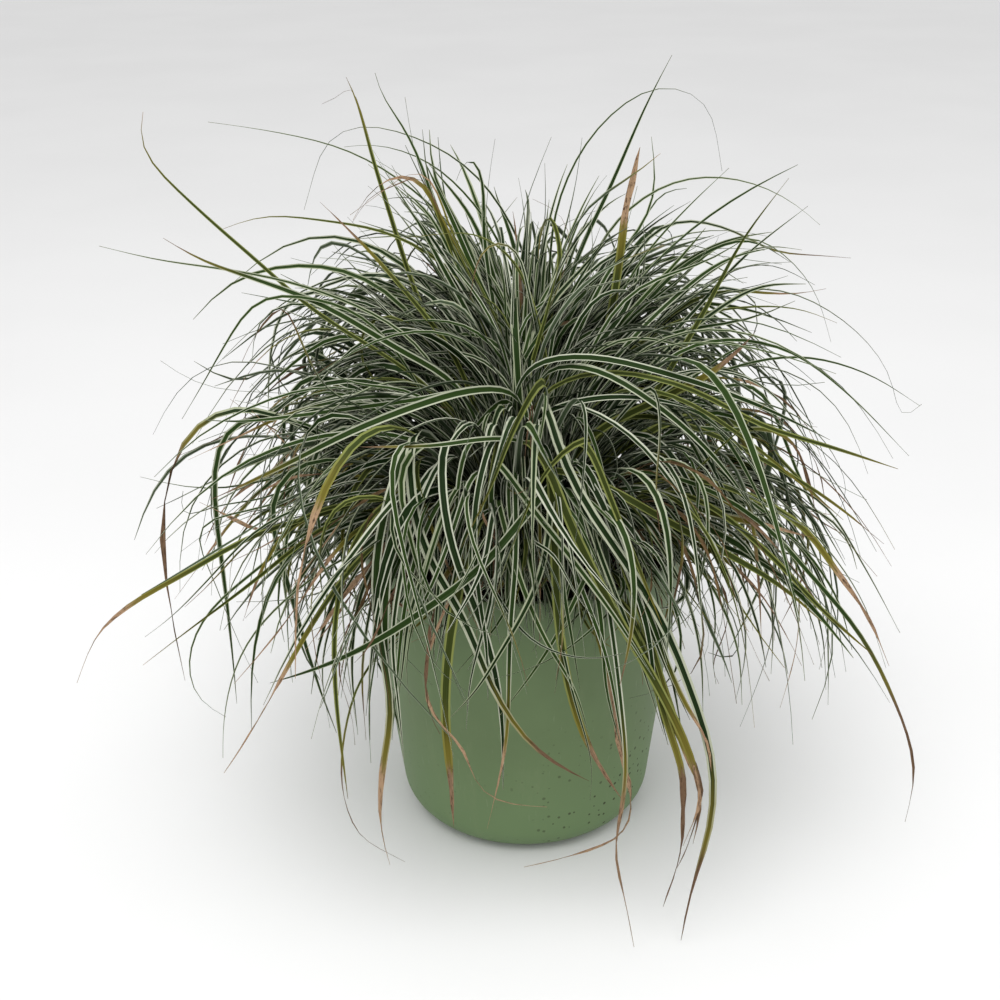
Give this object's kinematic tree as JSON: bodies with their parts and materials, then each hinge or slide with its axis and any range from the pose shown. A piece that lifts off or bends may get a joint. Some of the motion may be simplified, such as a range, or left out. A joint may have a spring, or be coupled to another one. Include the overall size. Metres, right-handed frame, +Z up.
{
  "type": "potted ornamental sedge",
  "caption": "Fountain-shaped tussock of narrow white-edged sedge blades with dry tips, growing in a round tapered nursery pot filled with dark soil.",
  "frame": {"origin": "middle of the flat underside of the pot, on the ground", "axes": "+Z up along the pot's axis; -Y is the side that the plant is looked at from, with +X to the right"},
  "size_m": [0.4942, 0.4467, 0.4319],
  "materials": {
    "pot_plastic": "smooth matte light green",
    "soil": "dark crumbly potting mix",
    "sedge_leaf": "green middle stripe with cream margins, satin",
    "dry_leaf": "dry tan to brown, matte"
  },
  "bodies": {
    "root": {"pot": "pot_plastic", "soil": "soil", "tuft_front": "sedge_leaf", "tuft_right": "sedge_leaf", "tuft_back_right": "sedge_leaf", "tuft_back_left": "sedge_leaf", "tuft_left": "sedge_leaf", "dry_leaves_front_right": "dry_leaf", "dry_leaves_right": "dry_leaf", "dry_leaves_back": "dry_leaf", "dry_leaves_left": "dry_leaf", "dry_leaves_front_left": "dry_leaf"}
  },
  "joints": []
}
